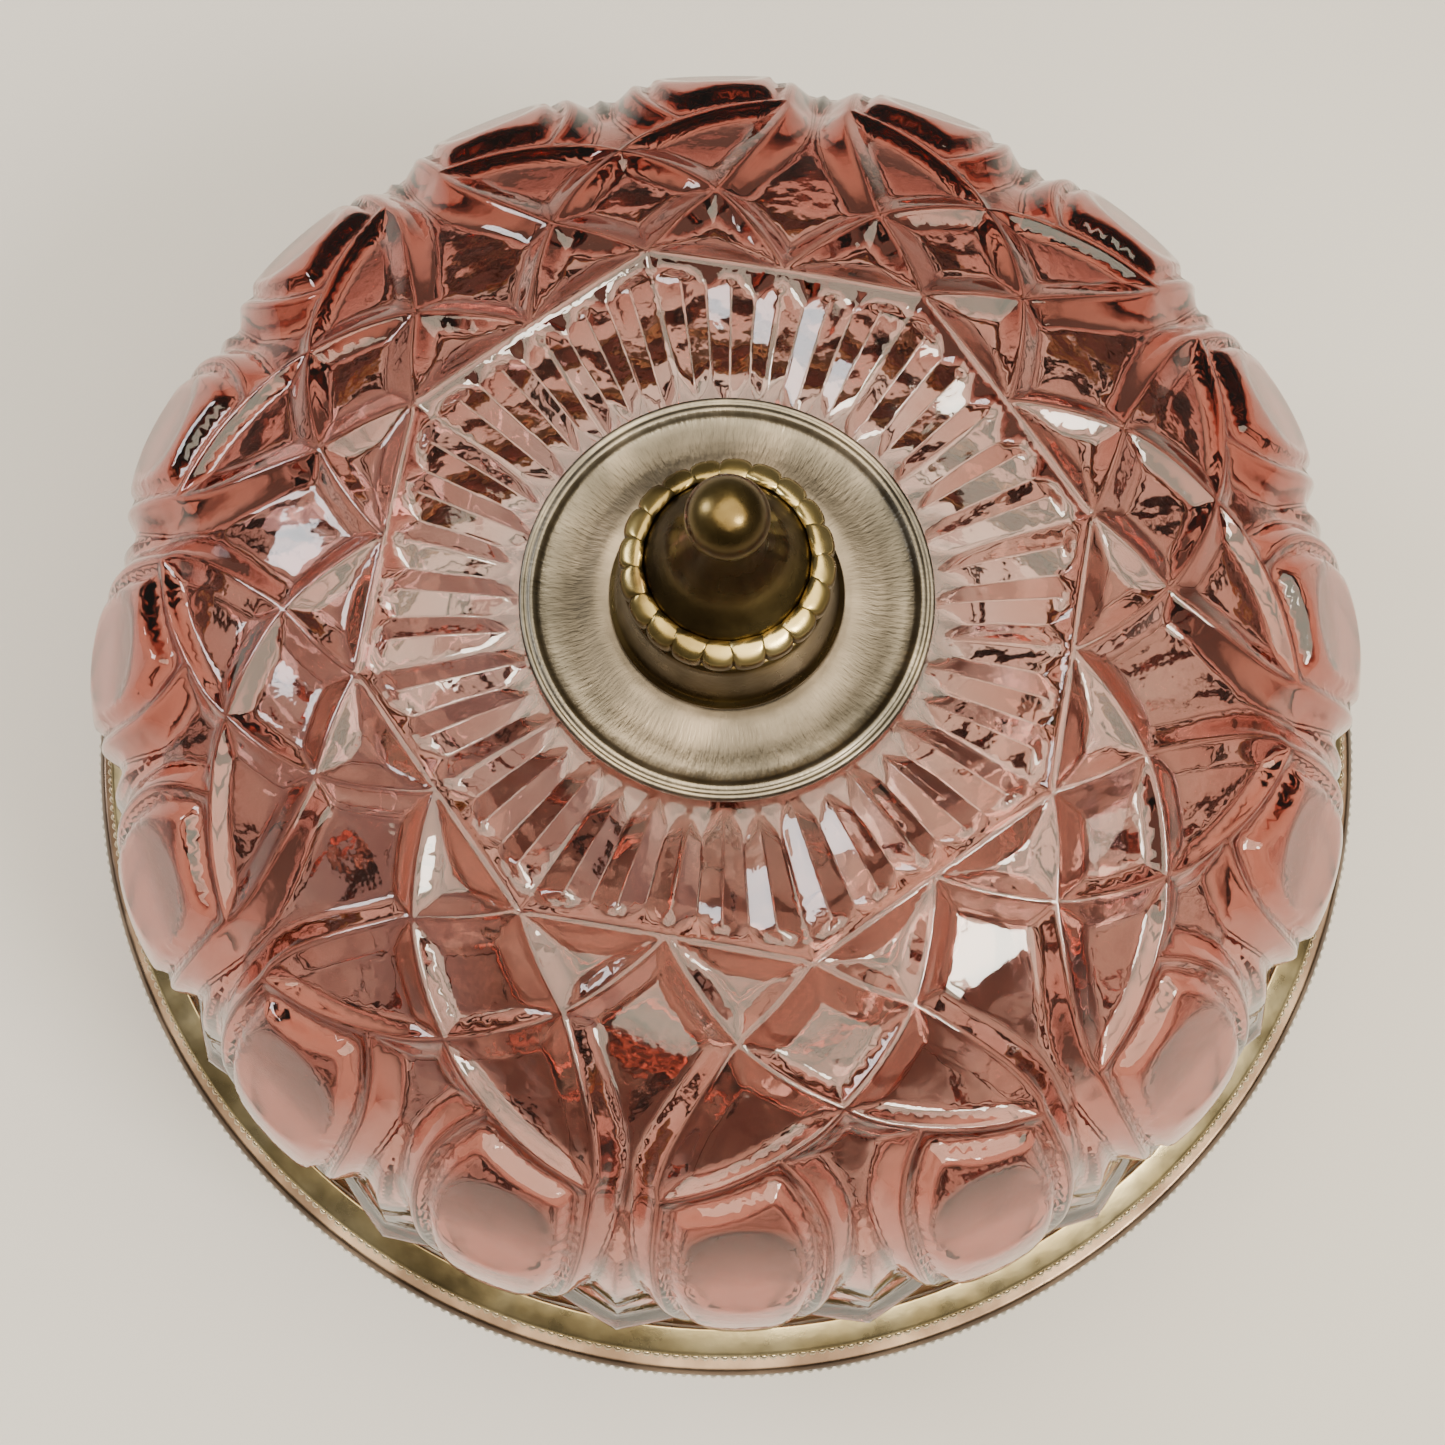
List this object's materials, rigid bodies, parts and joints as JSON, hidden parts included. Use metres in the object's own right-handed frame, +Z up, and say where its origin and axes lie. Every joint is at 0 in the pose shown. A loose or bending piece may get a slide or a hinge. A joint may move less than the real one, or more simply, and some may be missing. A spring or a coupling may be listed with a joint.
{
  "type": "lidded glass candy dish",
  "caption": "Round pressed-glass candy dish in pink glass, with a domed lift-off lid, plated metal rims on bowl and lid, and a turned brass finial on a dished plate.",
  "frame": {"origin": "centre of the bowl's foot ring, on the surface it stands on", "axes": "+Z up along the axis of bowl and lid; +X through one corner of the octagon in the pressed pattern"},
  "size_m": [0.1548, 0.1548, 0.1533],
  "materials": {
    "rose_glass": "clear rose-pink pressed glass, fire-polished",
    "silver_plate": "warm, lightly tarnished silver plate with milled edges",
    "worn_plate": "worn silver plate over brass, fine radial grain",
    "old_brass": "antique brass, dark in the hollows and bright on the edges",
    "fixing_steel": "plain zinc-plated steel",
    "soft_washer": "matt soft rubber",
    "rim_cement": "matt setting cement"
  },
  "bodies": {
    "bowl": {"bowl_glass": "rose_glass", "bowl_rim": "silver_plate", "bowl_rim_cement": "rim_cement"},
    "lid": {"lid_glass": "rose_glass", "lid_rim": "silver_plate", "lid_rim_cement": "rim_cement", "finial_gasket": "soft_washer", "finial_plate": "worn_plate", "finial_base": "old_brass", "finial_bead_ring": "old_brass", "finial_knob": "old_brass", "inner_gasket": "soft_washer", "inner_washer": "fixing_steel", "finial_nut": "fixing_steel", "finial_stud": "fixing_steel"}
  },
  "joints": [
    {"name": "lid_lift", "type": "slide", "parent": "bowl", "child": "lid", "axis": [0, 0, 1], "range_m": [0, 0.1]}
  ]
}
